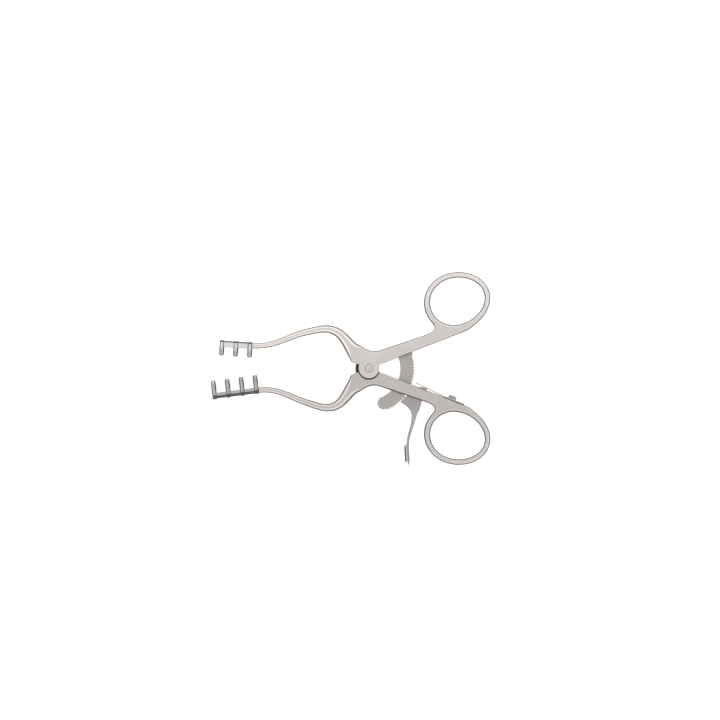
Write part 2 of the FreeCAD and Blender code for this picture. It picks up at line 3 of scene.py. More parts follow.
import bpy
import numpy as np
from mathutils.geometry import tessellate_polygon
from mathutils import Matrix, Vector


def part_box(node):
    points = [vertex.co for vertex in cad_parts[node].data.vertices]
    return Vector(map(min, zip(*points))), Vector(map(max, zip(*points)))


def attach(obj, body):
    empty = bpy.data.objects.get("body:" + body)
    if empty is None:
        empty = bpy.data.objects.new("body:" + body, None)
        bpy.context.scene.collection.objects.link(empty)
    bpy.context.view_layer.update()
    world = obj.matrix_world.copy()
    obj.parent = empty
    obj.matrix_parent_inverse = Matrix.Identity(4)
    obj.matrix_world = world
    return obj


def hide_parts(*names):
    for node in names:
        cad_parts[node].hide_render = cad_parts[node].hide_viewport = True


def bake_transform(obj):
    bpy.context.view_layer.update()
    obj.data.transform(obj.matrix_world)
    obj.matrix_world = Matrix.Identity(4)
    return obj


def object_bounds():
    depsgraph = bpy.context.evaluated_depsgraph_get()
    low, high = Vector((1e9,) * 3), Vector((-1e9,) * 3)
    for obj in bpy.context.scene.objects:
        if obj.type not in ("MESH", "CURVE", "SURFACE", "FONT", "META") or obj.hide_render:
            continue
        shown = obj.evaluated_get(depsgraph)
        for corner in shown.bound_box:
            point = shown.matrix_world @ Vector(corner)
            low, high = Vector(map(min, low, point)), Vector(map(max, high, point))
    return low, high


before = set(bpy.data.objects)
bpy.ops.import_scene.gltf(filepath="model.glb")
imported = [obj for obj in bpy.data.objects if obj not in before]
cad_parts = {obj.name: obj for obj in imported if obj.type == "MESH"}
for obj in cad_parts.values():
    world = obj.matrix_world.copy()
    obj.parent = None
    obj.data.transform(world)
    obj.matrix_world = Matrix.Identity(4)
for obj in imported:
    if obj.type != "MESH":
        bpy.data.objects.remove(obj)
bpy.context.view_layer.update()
mm = 0.001

# Lower arm. One of the two forged stainless arms: a flat hub, a shank slotted for the
# ratchet and the lever, a finger ring, and a limb that turns into a round bar.
# It is ground flat on both faces, its rims are broken, and it is satin finished all over.

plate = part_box("lower_arm")[1].z
mid = plate / 2
rim_r = 0.75 * mm
neck_rim = 1.1 * mm
rim_rise = 1.9 * mm
crotch_rise = 2.2 * mm
inner_bevel = 1.1 * mm
outer_bevel = 0.95 * mm
front_rim = 0.3 * mm
sharp = 0.02 * mm
bar_flat = 0.03 * mm
bar_wall = 0.02 * mm
flat_end = 4.9 * mm
hub_r = 4.7 * mm
stop_r = 6.2 * mm
hub_gap = 0.35 * mm
lap_gap = 0.05 * mm
shank_angle = radians(21.2)
inner_drop = 0.16 * mm
front = np.array([-8.2, 2.9]) * mm
pin_x, pin_y = 21.2, 11.0   # the lever's pin in mm, above the axis before mirroring
pin_hole_r = 0.82 * mm
bend_count = 24
slot_low = mid - 0.9 * mm
slot_high = mid + 0.9 * mm
slot_near = 14.05 * mm
slot_far = 30.6 * mm


def unit(angle):
    return np.array([cos(angle), sin(angle)])


def shank(along, out):
    """Point of an arm above the axis: along its shank, and outwards from its inner edge."""
    return unit(shank_angle) * along + unit(shank_angle + pi / 2) * (out - inner_drop)


ring_tilt = radians(17.0)
ring_centre = shank(49.1 * mm, 14.4 * mm)
ring_size = np.array([12.6, 10.6]) * mm
ring_egg = 0.064


def egg(turn, grow):
    """Points round the finger opening: an ellipse whose half width swells by a share of
    minus the cosine, turned by the ring's tilt and grown outwards by a distance."""
    turn = np.atleast_1d(turn)
    along = (ring_size[0] + grow) * np.cos(turn)
    across = (ring_size[1] + grow) * (1 - ring_egg * np.cos(turn)) * np.sin(turn)
    tilted = np.outer(along, unit(ring_tilt)) + np.outer(across, unit(ring_tilt + pi / 2))
    return ring_centre + tilted


def bend(start, leave, arrive, end, count=bend_count):
    """Cubic curve from start to end, pulled by two points: the sum of the four points
    weighted by the terms of (1 - t + t) cubed."""
    t = np.linspace(0, 1, count)[:, None]
    return ((1 - t) ** 3 * start + 3 * (1 - t) ** 2 * t * leave
            + 3 * (1 - t) * t ** 2 * arrive + t ** 3 * end)


def arc(centre, radius, start, end, count=48):
    """Points on a circle from one angle to another, in the direction of their order."""
    turn = np.linspace(start, end, count)
    return centre + radius * np.stack([np.cos(turn), np.sin(turn)], 1)


web_left = radians(206)
web_right = radians(292)
wire_root = 3.2 * mm
wire_far = 2.7 * mm
wire_height = 3.3 * mm
wire_thick_at = radians(225)
height_reach = radians(95)
round_reach = radians(60)


def smooth_step(share):
    """Rises from 0 to 1 with level ends: three times the square less twice the cube."""
    share = np.clip(share, 0, 1)
    return share ** 2 * (3 - 2 * share)


def edge(points, rounding=rim_r, rise=rim_rise, height=plate):
    """Stretch of an outline, one row for each point: its place, how far its rims are
    rounded in plan and in height, and the height of the forging there."""
    points = np.atleast_2d(points)
    extra = [np.broadcast_to(value, len(points)) for value in (rounding, rise, height)]
    return np.column_stack([points, *extra])


def ring_edge(turn, side):
    """Edge of the ring's wire, on one side of its middle line, which is the egg grown by
    half the wire's width. At the web the wire is flat, and away from it it turns round."""
    near = ((1 + np.cos(turn - wire_thick_at)) / 2) ** 2
    width = wire_far + (wire_root - wire_far) * near
    step = 0.002
    middle = egg(turn, width / 2)
    ahead = egg(turn + step, width / 2) - egg(turn - step, width / 2)
    ahead /= np.linalg.norm(ahead, axis=1)[:, None]
    normal = np.column_stack([ahead[:, 1], -ahead[:, 0]])
    past = np.mod(turn - web_left, 2 * pi)
    beyond = np.minimum(past - (web_right - web_left), 2 * pi - past)
    height = plate + (wire_height - plate) * smooth_step(beyond / height_reach)
    round_share = smooth_step(beyond / round_reach)
    rounding = neck_rim + (width / 2 - bar_flat - neck_rim) * round_share
    rise = rim_rise + (height / 2 - bar_wall - rim_rise) * round_share
    return edge(middle + side * normal * width[:, None] / 2, rounding, rise, height)


def limb_edges(stations, spread, bevel):
    """Inner and outer edge of the limb. Its middle line and width are splines through the
    stations, and its rims' rounding grows to half the bar as the bar narrows. Its height is
    width times plate over the eighth root of the sum of their eighth powers, so it is close
    to the smaller of the two."""
    table = np.array(stations) * mm
    station_count = 110
    first = table[1, :2] - table[0, :2]
    first /= np.linalg.norm(first)
    path = spline(table, station_count, first, unit(pi - spread))
    ahead = np.gradient(path[:, :2], axis=0)
    ahead /= np.linalg.norm(ahead, axis=1)[:, None]
    ahead[-1] = unit(pi - spread)
    width = path[:, 2]
    height = width * plate / (width ** 8 + plate ** 8) ** (1 / 8)
    height[0] = plate
    share = smooth_step((width - flat_end) / (width[0] - flat_end))
    across = np.column_stack([ahead[:, 1], -ahead[:, 0]]) * width[:, None] / 2
    sides = []
    for side, rim in ((-1, bevel), (1, outer_bevel)):
        rounding = rim + (width / 2 - bar_flat - rim) * (1 - share)
        rise = rim_rise + (height / 2 - bar_wall - rim_rise) * (1 - share)
        sides.append(edge(path[:, :2] + side * across, rounding, rise, height))
    return sides


crotch_at = (12.6 * mm, 5.9 * mm)
neck_at = (28.2 * mm, 5.2 * mm)
seat_end_along = 47.2 * mm
crotch_pull = 5.8 * mm
neck_pull = 4.3 * mm
seat_pull = 2.8 * mm


def arm_outline(stations, spread):
    """Edge of a whole arm: from the front corner along the limb and back, round the crotch,
    the ring, and along the inner edge to the hub."""
    inner, outer = limb_edges(stations, spread, inner_bevel)
    way = (outer[1, :2] - outer[0, :2]) / np.linalg.norm(outer[1, :2] - outer[0, :2])
    crotch = shank(*crotch_at)
    neck = shank(*neck_at)
    out_way = (neck - crotch) / np.linalg.norm(neck - crotch)
    round_ring = ring_edge(np.linspace(web_left, web_right - 2 * pi, 130), 1)
    left, right = round_ring[0, :2], round_ring[-1, :2]
    left_way = (left - round_ring[1, :2]) / np.linalg.norm(left - round_ring[1, :2])
    right_way = (right - round_ring[-2, :2]) / np.linalg.norm(right - round_ring[-2, :2])
    seat_end = shank(seat_end_along, 0)
    return np.concatenate([
        edge(front, front_rim), inner, outer[::-1],
        edge(bend(outer[0, :2], outer[0, :2] - way * crotch_pull, crotch - out_way * crotch_pull,
                  crotch)[1:], outer_bevel, crotch_rise),
        edge(bend(neck, neck + out_way * neck_pull, left + left_way * neck_pull, left)[:-1],
             np.linspace(rim_r, neck_rim, bend_count - 1)),
        round_ring,
        edge(bend(right, right + right_way * seat_pull, seat_end + unit(shank_angle) * seat_pull,
                  seat_end)[1:], np.linspace(neck_rim, rim_r, bend_count - 1)),
        edge(shank(hub_r, 0), sharp, sharp), edge([0, 0], sharp, sharp),
    ])


def facing(rows, outward=True):
    """The rows in the order that puts the material on the left of an outer edge."""
    x, y = rows[:, 0], rows[:, 1]
    left = np.sum(x * np.roll(y, -1) - np.roll(x, -1) * y) > 0
    return rows if left == outward else rows[::-1]


# a square end is looked for only where the rims are wider than this
square_rim_least = 1.05 * mm
square_cosine = 0.2
mitre_limit = 0.35
merge_gap = 0.004 * mm


def wall(rows, low, high, round_low, round_high):
    """Wall round an outline: a quarter of an ellipse up from the lower face, straight, and
    a quarter in to the upper face. Each level is the outline moved in along its mitres."""
    ahead = np.roll(rows[:, :2], -1, 0) - rows[:, :2]
    ahead /= np.linalg.norm(ahead, axis=1)[:, None]
    normal = np.column_stack([ahead[:, 1], -ahead[:, 0]])
    before = np.roll(normal, 1, 0)
    turned = 1 + np.sum(normal * before, 1)
    mitre = (normal + before) / np.maximum(turned, mitre_limit)[:, None]
    # across the bar's square end the rims run on straight
    square = np.nonzero(np.isclose(rows[:, 2], np.roll(rows[:, 2], -1))
                        & (rows[:, 2] > square_rim_least)
                        & (np.sum(normal * before, 1) < square_cosine))[0]
    for i in square:
        mitre[i] = before[i]
        mitre[(i + 1) % len(rows)] = normal[(i + 1) % len(rows)]
    quarter = np.linspace(0, pi / 2, 9)[:, None]
    rounding, rise = rows[:, 2][None], rows[:, 3][None]
    levels = []
    if round_low:
        levels.append((rounding * (1 - np.sin(quarter)), low + rise * (1 - np.cos(quarter))))
    else:
        levels.append((0 * rounding, low[None] + 0 * rounding))
    if round_high:
        levels.append((rounding * (1 - np.cos(quarter)), high - rise * (1 - np.sin(quarter))))
    else:
        levels.append((0 * rounding, high[None] + 0 * rounding))
    inward = np.concatenate([level[0] for level in levels])
    height = np.concatenate([level[1] for level in levels])
    flat = rows[None, :, :2] - inward[..., None] * mitre[None]
    return np.concatenate([flat, height[..., None]], 2)


def forged(outline, hole=None, low=None, high=None, round_low=True, round_high=True):
    """Closed plate as vertices and faces, with rounded rims, level faces between them, and
    a hole if one is given. Each row of an outline has the heights of its own faces."""
    points, faces, low_loops, high_loops = [], [], [], []
    loops = [facing(outline)] + ([facing(hole, False)] if hole is not None else [])
    first = 0
    for rows in loops:
        gap = np.linalg.norm(rows[:, :2] - np.roll(rows[:, :2], 1, 0), axis=1)
        rows = rows[gap > merge_gap]
        bottom = mid - rows[:, 4] / 2 if low is None else np.full(len(rows), low)
        top = mid + rows[:, 4] / 2 if high is None else np.full(len(rows), high)
        grid = wall(rows, bottom, top, round_low, round_high)
        levels, count = grid.shape[:2]
        index = first + np.arange(levels * count).reshape(levels, count)
        nxt = np.roll(index, -1, 1)
        faces += np.stack([index[:-1], nxt[:-1], nxt[1:], index[1:]], 2).reshape(-1, 4).tolist()
        points.append(grid.reshape(-1, 3))
        low_loops.append(index[0])
        high_loops.append(index[-1])
        first += levels * count
    points = np.concatenate(points)
    for caps, upward in ((low_loops, False), (high_loops, True)):
        order = np.concatenate(caps)
        flat = points * [1, 1, 0]
        corners = np.array(tessellate_polygon([[flat[i] for i in loop] for loop in caps]))
        corners = order[corners]
        a, b, c = (points[corners[:, k]] for k in range(3))
        turn = (b - a)[:, 0] * (c - a)[:, 1] - (b - a)[:, 1] * (c - a)[:, 0]
        wrong = (turn > 0) != upward
        corners[wrong] = corners[wrong][:, ::-1]
        faces += corners.tolist()
    return points, faces


def disc(radius, low, high, centre=(0, 0), rounding=0.0, count=96):
    """Round plate or drill of one radius between two heights, its upper rim rounded."""
    circle = arc(np.array(centre), radius, 0, 2 * pi, count + 1)[:-1]
    return forged(edge(circle, rounding, rounding), low=low, high=high,
                  round_low=False, round_high=rounding > 0)


def mesh_of(shape, index, materials):
    """Mesh with places for materials, all of whose faces take one of them."""
    mesh = bpy.data.meshes.new("work")
    mesh.from_pydata(shape[0].tolist(), [], shape[1])
    for material in materials:
        mesh.materials.append(material)
    place = shape[2] if len(shape) > 2 else np.full(len(mesh.polygons), index)
    mesh.polygons.foreach_set("material_index", place)
    return mesh


def worked(materials, shape, *steps):
    """The shape after steps that join a second one to it or cut it away. Each step gives
    the way, the second shape, and the material place that its faces bring along."""
    collection = bpy.context.scene.collection
    body = bpy.data.objects.new("work", mesh_of(shape, 0, materials))
    collection.objects.link(body)
    for way, other, index in steps:
        tool = bpy.data.objects.new("tool", mesh_of(other, index, materials))
        collection.objects.link(tool)
        change = body.modifiers.new("step", "BOOLEAN")
        change.operation = way
        change.solver = "EXACT"
        change.object = tool
        graph = bpy.context.evaluated_depsgraph_get()
        done = bpy.data.meshes.new_from_object(body.evaluated_get(graph))
        body.modifiers.clear()
        old = body.data
        body.data = done
        bpy.data.meshes.remove(old)
        old = tool.data
        bpy.data.objects.remove(tool)
        bpy.data.meshes.remove(old)
    mesh = body.data
    bpy.data.objects.remove(body)
    return mesh


corner_points = 8


def tube(centres, across, rise, width, height, corner):
    """Closed bar as vertices and faces: a rounded rectangle carried along a path. Its faces
    point outwards where across, rise and the way ahead are right handed. A point of the
    section is the corner circle's centre plus its radius at the angle, and the section's
    two directions, its width, height and corner radius are given at each station."""
    turn = (np.arange(4)[:, None] * pi / 2 + np.linspace(0, pi / 2, corner_points)[None]).ravel()
    side = np.repeat([1, -1, -1, 1], corner_points)
    top = np.repeat([1, 1, -1, -1], corner_points)
    width, height, corner = (np.broadcast_to(v, len(centres))[:, None] for v in (width, height, corner))
    u = side * (width / 2 - corner) + corner * np.cos(turn)
    v = top * (height / 2 - corner) + corner * np.sin(turn)
    points = centres[:, None] + u[..., None] * across[:, None] + v[..., None] * rise[:, None]
    rows, count = points.shape[:2]
    faces = []
    for row in range(rows - 1):
        for i in range(count):
            j = (i + 1) % count
            here, beyond = row * count, (row + 1) * count
            faces.append((here + i, here + j, beyond + j, beyond + i))
    faces.append(tuple(range(count))[::-1])
    faces.append(tuple(range((rows - 1) * count, rows * count)))
    return points.reshape(-1, 3), faces


def mirrored(shape):
    """The same shape on the other side of the axis, its faces turned to point outwards."""
    points, faces = shape
    return points * [1, -1, 1], [face[::-1] for face in faces]


def piece(name, shape, body, slot, *materials, crease=32, level=0.88, upright=0.55):
    """New object from a mesh, or from vertices and faces, smooth but for its real edges.
    Each face corner carries how steep it stands, from 0 on the flats to 1 on the walls,
    between two values of its normal's height; the steels paint shade on the walls by it."""
    if isinstance(shape, tuple):
        mesh = bpy.data.meshes.new(name)
        mesh.from_pydata(shape[0].tolist(), [], shape[1])
    else:
        mesh = shape
        mesh.name = name
    mesh.polygons.foreach_set("use_smooth", np.ones(len(mesh.polygons), bool))
    mesh.set_sharp_from_angle(angle=radians(crease))
    for material in materials[len(mesh.materials):]:
        mesh.materials.append(material)
    normals = np.empty(len(mesh.loops) * 3)
    mesh.corner_normals.foreach_get("vector", normals)
    steep = smooth_step((level - np.abs(normals[2::3])) / (level - upright))
    mesh.attributes.new("steep", "FLOAT", "CORNER").data.foreach_set("value", steep)
    made = bpy.data.objects.new(name, mesh)
    bpy.context.scene.collection.objects.link(made)
    weighted = made.modifiers.new("weighted normals", "WEIGHTED_NORMAL")
    weighted.keep_sharp = True
    if body:
        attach(made, body)
    return made


def spline(points, count, first_way=None, last_way=None):
    """Smooth path through points: between two of them a cubic in the distance along their
    chords, whose slopes make the curvature run on evenly, with given end directions."""
    points = np.asarray(points, float)
    chord = np.concatenate([[0], np.cumsum(np.linalg.norm(np.diff(points[:, :3], axis=0), axis=1))])
    step = np.diff(chord)
    n = len(points)
    system = np.zeros((n, n))
    target = np.zeros_like(points)
    rise = np.diff(points, axis=0) / step[:, None]
    for i in range(1, n - 1):
        system[i, i - 1: i + 2] = step[i], 2 * (step[i - 1] + step[i]), step[i - 1]
        target[i] = 3 * (step[i] * rise[i - 1] + step[i - 1] * rise[i])
    system[0, :2] = 2, 1
    system[-1, -2:] = 1, 2
    target[0], target[-1] = 3 * rise[0], 3 * rise[-1]
    if first_way is not None:
        system[0] = 0
        system[0, 0] = 1
        target[0] = rise[0]
        target[0, :len(first_way)] = first_way
    if last_way is not None:
        system[-1] = 0
        system[-1, -1] = 1
        target[-1] = rise[-1]
        target[-1, :len(last_way)] = last_way
    slope = np.linalg.solve(system, target)
    where = np.linspace(0, chord[-1], count)
    span = np.clip(np.searchsorted(chord, where, "right") - 1, 0, n - 2)
    t = ((where - chord[span]) / step[span])[:, None]
    long = step[span][:, None]
    return ((2 * t ** 3 - 3 * t ** 2 + 1) * points[span] + (t ** 3 - 2 * t ** 2 + t) * long * slope[span]
            + (3 * t ** 2 - 2 * t ** 3) * points[span + 1] + (t ** 3 - t ** 2) * long * slope[span + 1])


grain_scale = (5000, 5000, 5000)
wipe_scale = (700, 9000, 1500)
metallic = 0.85


def steel(name, colour, roughness, mottle=0.05, scratch=0.1, wall=0.0):
    """Stainless steel: fine grain in the roughness and the bump, slow changes of tone, and
    faint wipe marks, all from noise in the object's own coordinates. The steep sides of a
    new piece may be written darker by a share: painted shade for the dark the walls reflect."""
    material = bpy.data.materials.new(name)
    material.use_nodes = True
    tree = material.node_tree
    nodes, links = tree.nodes, tree.links
    shader = nodes["Principled BSDF"]
    shader.inputs["Metallic"].default_value = metallic
    coords = nodes.new("ShaderNodeTexCoord")

    def noise(scale, detail, stretch=(1, 1, 1)):
        mapping = nodes.new("ShaderNodeMapping")
        mapping.inputs["Scale"].default_value = stretch
        texture = nodes.new("ShaderNodeTexNoise")
        texture.inputs["Scale"].default_value = scale
        texture.inputs["Detail"].default_value = detail
        links.new(coords.outputs["Object"], mapping.inputs["Vector"])
        links.new(mapping.outputs["Vector"], texture.inputs["Vector"])
        return texture.outputs["Fac"]

    def ranged(value, low, high, start=0.3, end=0.7):
        change = nodes.new("ShaderNodeMapRange")
        change.inputs["From Min"].default_value = start
        change.inputs["From Max"].default_value = end
        change.inputs["To Min"].default_value = low
        change.inputs["To Max"].default_value = high
        links.new(value, change.inputs["Value"])
        return change.outputs["Result"]

    def toned(share):
        return tuple(min(1, part * share) for part in colour) + (1,)

    tone = nodes.new("ShaderNodeMix")
    tone.data_type = "RGBA"
    tone.inputs["A"].default_value = toned(1 - mottle)
    tone.inputs["B"].default_value = toned(1 + mottle)
    slow = ranged(noise(110, 3), 0, 1)
    links.new(slow, tone.inputs["Factor"])
    fine = noise(1, 5, grain_scale)
    speck = nodes.new("ShaderNodeMix")
    speck.data_type = "RGBA"
    speck.blend_type = "MULTIPLY"
    links.new(tone.outputs["Result"], speck.inputs["A"])
    speck.inputs["B"].default_value = (0.85, 0.84, 0.83, 1)
    links.new(ranged(fine, 0, 0.15, 0.45, 0.75), speck.inputs["Factor"])
    made = speck.outputs["Result"]
    # painted shade: the steep walls are multiplied darker by the share given as wall
    if wall:
        steep = nodes.new("ShaderNodeAttribute")
        steep.attribute_name = "steep"
        sides = nodes.new("ShaderNodeMix")
        sides.data_type = "RGBA"
        sides.blend_type = "MULTIPLY"
        links.new(made, sides.inputs["A"])
        sides.inputs["B"].default_value = (1 - wall, 1 - wall, 1 - wall, 1)
        links.new(steep.outputs["Fac"], sides.inputs["Factor"])
        made = sides.outputs["Result"]
    links.new(made, shader.inputs["Base Color"])
    links.new(ranged(fine, roughness - 0.02, roughness + 0.02), shader.inputs["Roughness"])
    wipe = noise(1, 4, wipe_scale)
    both = nodes.new("ShaderNodeMath")
    both.operation = "MULTIPLY_ADD"
    both.inputs[1].default_value = 0.5
    links.new(wipe, both.inputs[0])
    links.new(fine, both.inputs[2])
    bump = nodes.new("ShaderNodeBump")
    bump.inputs["Strength"].default_value = scratch
    bump.inputs["Distance"].default_value = 0.00001
    links.new(both.outputs["Value"], bump.inputs["Height"])
    links.new(bump.outputs["Normal"], shader.inputs["Normal"])
    return material


# painted shade on the arms: their steep walls are written 85 per cent darker
arm_steel = steel("arm satin steel", (0.56, 0.52, 0.50), 0.34, mottle=0.03, scratch=0.03, wall=0.85)
# painted shade: near black on the faces of the hub recess, the stop disc, the slot and the holes, for
# the shade in these gaps
hub_gap_painted_shade = steel("hub gap painted shade", (0.09, 0.08, 0.075), 0.6, mottle=0.1)

lower_limb = [
    (-5.8, 7.05, 8.1), (-7.8, 9.2, 6.5), (-11.15, 13.6, 4.9), (-14.9, 17.0, 4.1),
    (-19.4, 18.0, 3.6), (-24.8, 16.9, 3.3), (-32.7, 14.1, 2.95), (-40.2, 11.1, 2.75),
    (-45.6, 9.9, 2.6), (-50.4, 10.0, 2.5),
]
lower_spread = radians(7.3)
lap_low = mid - lap_gap / 2
lap_high = mid + lap_gap / 2
opening = ring_edge(np.linspace(0, 2 * pi, 181)[:-1], -1)

# half disc under the upper arm's, cut off behind the hub
behind = np.arccos(hub_r / stop_r)
stop_disc = forged(edge(arc(np.zeros(2), stop_r, behind, 2 * pi - behind, 80), 0.25 * mm, 0.25 * mm),
                   low=0.0, high=lap_low, round_low=True, round_high=False)
recess = disc(hub_r + hub_gap, lap_low, 2 * plate, (0, 0.25 * mm))
lever_pin_at = np.array([pin_x, pin_y]) * mm
pin_hole = disc(pin_hole_r, -plate, 2 * plate, lever_pin_at, count=40)
# the slot leaves the hub whole up to a circle round the pivot, and ends behind the lever
slot_edge = np.concatenate([arc(np.zeros(2), slot_near, radians(-8), radians(62), 30),
                            [shank(slot_far, 12 * mm), shank(slot_far, -7 * mm)]])
slot = forged(edge(slot_edge), low=slot_low, high=slot_high, round_low=False, round_high=False)
arm_steels = [arm_steel, hub_gap_painted_shade]
lower_mesh = worked(
    arm_steels, mirrored(forged(arm_outline(lower_limb, lower_spread), opening)),
    ("DIFFERENCE", mirrored(recess), 1), ("UNION", mirrored(stop_disc), 1),
    ("DIFFERENCE", mirrored(slot), 1), ("DIFFERENCE", mirrored(pin_hole), 1))
lower_forging = piece("lower_arm_forging", lower_mesh, "fixed_arm", "arm_steel", *arm_steels)
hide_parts("lower_arm")

# Upper arm. The other forging, the first one's mirror image but for its limb. Its half
# disc laps over the lower arm's at the hub, and two rivets hold the ratchet bar in it.
# Its steel is written lighter than the lower arm's: painted light, as both arms are one steel.

upper_limb = [
    (-5.8, 7.05, 8.1), (-7.8, 9.2, 6.5), (-11.15, 13.6, 4.9), (-14.8, 16.8, 4.1),
    (-19.2, 18.1, 3.6), (-24.8, 17.5, 3.3), (-32.7, 15.5, 2.95), (-40.5, 12.5, 2.75),
    (-47.9, 10.6, 2.55), (-53.4, 10.4, 2.45),
]
upper_spread = radians(3.9)
rivet_angle = radians(28.5)
rivet_radii = (16.3 * mm, 19.25 * mm)
counterbore_r, counterbore_depth = 1.84 * mm, 1.04 * mm
rivet_holes = [("DIFFERENCE", disc(pin_hole_r, -plate, 2 * plate, unit(rivet_angle) * r, count=40), 1)
               for r in rivet_radii]
# painted light: the lower arm's steel written lighter for the light falling on this arm; its walls also
# carry painted shade
upper_arm_painted_light_steel = steel("upper arm steel with painted light", (0.68, 0.635, 0.61), 0.34,
                    mottle=0.03, scratch=0.03, wall=0.85)
upper_steels = [upper_arm_painted_light_steel, hub_gap_painted_shade]
upper_mesh = worked(
    upper_steels, forged(arm_outline(upper_limb, upper_spread), opening),
    ("DIFFERENCE", disc(stop_r + hub_gap, -plate, lap_high), 1),
    ("UNION", disc(hub_r, lap_high, plate, rounding=0.3 * mm), 0),
    ("DIFFERENCE", disc(counterbore_r, plate - counterbore_depth, 2 * plate, count=64), 1), *rivet_holes)
upper_forging = piece("upper_arm_forging", upper_mesh, "swing_arm", "arm_steel", *upper_steels)
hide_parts("upper_arm")

# Rakes. Each is pressed from thick sheet: a web across the end of the limb, with prongs
# that slope down and hook back under, and the web a little thinner than the prongs. They
# are brazed on. The cut edges and the bevelled back are written near black: painted shade.

# painted shade on the rakes: their steep faces are written 80 per cent darker
rake_steel = steel("rake face steel", (0.46, 0.45, 0.44), 0.36, mottle=0.1, scratch=0.1, wall=0.8)
# painted shade: near black on the cut edges and the bevelled back
rake_cut_painted_shade = steel("rake cut painted shade", (0.085, 0.08, 0.077), 0.5, mottle=0.15, scratch=0.3)
sheet = 1.8 * mm
web_sheet = 1.3 * mm
prong_w = 2.2 * mm
prong_pitch = 6.45 * mm
web_l = 3.0 * mm
belly_r = 5.5 * mm
hook = radians(142)
tip_l = 1.0 * mm
web_corner, prong_corner = 0.4 * mm, 0.62 * mm
web_inset, web_less = 0.02 * mm, 0.04 * mm
cutter_thick, cutter_foot, cutter_corner = 4 * mm, 0.1 * mm, 0.01 * mm
cutter_past = 1 * mm


def sheet_bar(centres, across, rise, width, height, corner):
    """Bar cut from sheet, with the number of its cut faces' material on its edges: on the
    sides and corners of each ring of quads, and on both ends."""
    points, faces = tube(centres, across, rise, width, height, corner)
    place = np.arange(4 * corner_points)
    upper_face, lower_face = corner_points - 1, 3 * corner_points - 1
    cut = (np.abs(place - upper_face) > 1) & (np.abs(place - lower_face) > 1)
    return points, faces, np.concatenate([np.tile(cut, len(centres) - 1), [1, 1]]).astype(int)


def rake(end, prongs, spread, slope, straight, bevel, flip):
    """Web, prongs and the cutter of one rake. A prong's middle line runs straight down the
    slope, round a circle and straight to the tip. The cutter takes a bevel off the back."""
    along = np.array([*unit(pi - spread), 0])
    inward = np.array([*unit(1.5 * pi - spread), 0])
    up = np.array([0.0, 0.0, 1.0])

    def ahead(turn):
        return np.multiply.outer(np.cos(turn), inward) - np.multiply.outer(np.sin(turn), up)

    def above(turn):
        return np.multiply.outer(np.sin(turn), inward) + np.multiply.outer(np.cos(turn), up)

    start = end - ahead(slope) * web_l / 2
    centre = start + ahead(slope) * straight - above(slope) * belly_r
    turn = np.linspace(slope, hook, 40)
    tip = centre + above(hook) * belly_r
    line = np.concatenate([start + np.linspace(0, 1, 8)[:-1, None] * straight * ahead(slope),
                           centre + above(turn) * belly_r,
                           tip + np.linspace(0, 1, 4)[1:, None] * tip_l * ahead(hook)])
    angle = np.concatenate([np.full(7, slope), turn, np.full(3, hook)])
    length = (prongs - 1) * prong_pitch + prong_w
    inset = np.array([web_inset, length - web_inset])
    ends = start + ahead(slope) * web_l / 2 + np.outer(inset, along)
    shapes = [sheet_bar(ends, np.tile(ahead(slope), (2, 1)), np.tile(above(slope), (2, 1)),
                        web_l - web_less, web_sheet, web_corner)]
    for number in range(prongs):
        place = line + along * (number * prong_pitch + prong_w / 2)
        shapes.append(sheet_bar(place, np.broadcast_to(-along, line.shape), above(angle),
                                prong_w, sheet, prong_corner))
    # the bevel runs from the upper face down to the lower edge of the sheet's back
    brow = start + above(slope) * sheet / 2 + ahead(slope) * bevel
    foot = start - above(slope) * sheet / 2 + ahead(slope) * cutter_foot
    down = (foot - brow) / np.linalg.norm(foot - brow)
    off = np.cross(down, along)
    off *= -np.sign(off @ ahead(slope))
    middle = (brow + foot) / 2 + off * cutter_thick / 2
    cutter_ends = middle + np.outer([-cutter_past, length + cutter_past], along)
    shapes.append(tube(cutter_ends, np.tile(np.cross(off, along), (2, 1)), np.tile(off, (2, 1)),
                       3 * cutter_thick, cutter_thick, cutter_corner))
    return [(*mirrored(shape[:2]), *shape[2:]) if flip else shape for shape in shapes]


def pressed(name, shapes, body, node):
    """One piece from a rake's web and prongs, joined, less its cutter."""
    mesh = worked([rake_steel, rake_cut_painted_shade], shapes[0], *[("UNION", shape, 0) for shape in shapes[1:-1]],
                  ("DIFFERENCE", shapes[-1], 1))
    made = piece(name, mesh, body, "rake_steel", rake_steel, rake_cut_painted_shade, level=0.45, upright=0.25)
    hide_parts(node)


upper_end = np.array([*upper_limb[-1][:2], mid / mm]) * mm
lower_end = np.array([*lower_limb[-1][:2], mid / mm]) * mm
pressed("three_prong_sheet", rake(upper_end, 3, upper_spread, slope=radians(26), straight=2.9 * mm,
                                  bevel=0.3 * mm, flip=False),
        "swing_arm", "three_prong_rake")
pressed("four_prong_sheet", rake(lower_end, 4, lower_spread, slope=radians(38), straight=7.2 * mm,
                                 bevel=1.1 * mm, flip=True),
        "fixed_arm", "four_prong_rake")

# Ratchet bar. Cut from flat sheet with saw teeth on its outer edge, hardened, and left a
# matt grey. The solid of the frame has its true shape.

ratchet_steel = steel("ratchet matt steel", (0.40, 0.37, 0.365), 0.5, mottle=0.05, scratch=0.25)
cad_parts["ratchet_bar"].data.materials[0] = ratchet_steel

# Release lever and thumb pad. A pawl plate that runs down into a stem turned edge on, with
# a pad brazed to it, rolled over at its upper end and ridged so that the thumb holds.

lever_steel = steel("lever satin steel", (0.385, 0.355, 0.355), 0.42, mottle=0.05, scratch=0.2)
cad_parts["release_lever"].data.materials[0] = lever_steel

pad_steel = steel("pad polished steel", (0.62, 0.59, 0.58), 0.3, mottle=0.05, scratch=0.1)
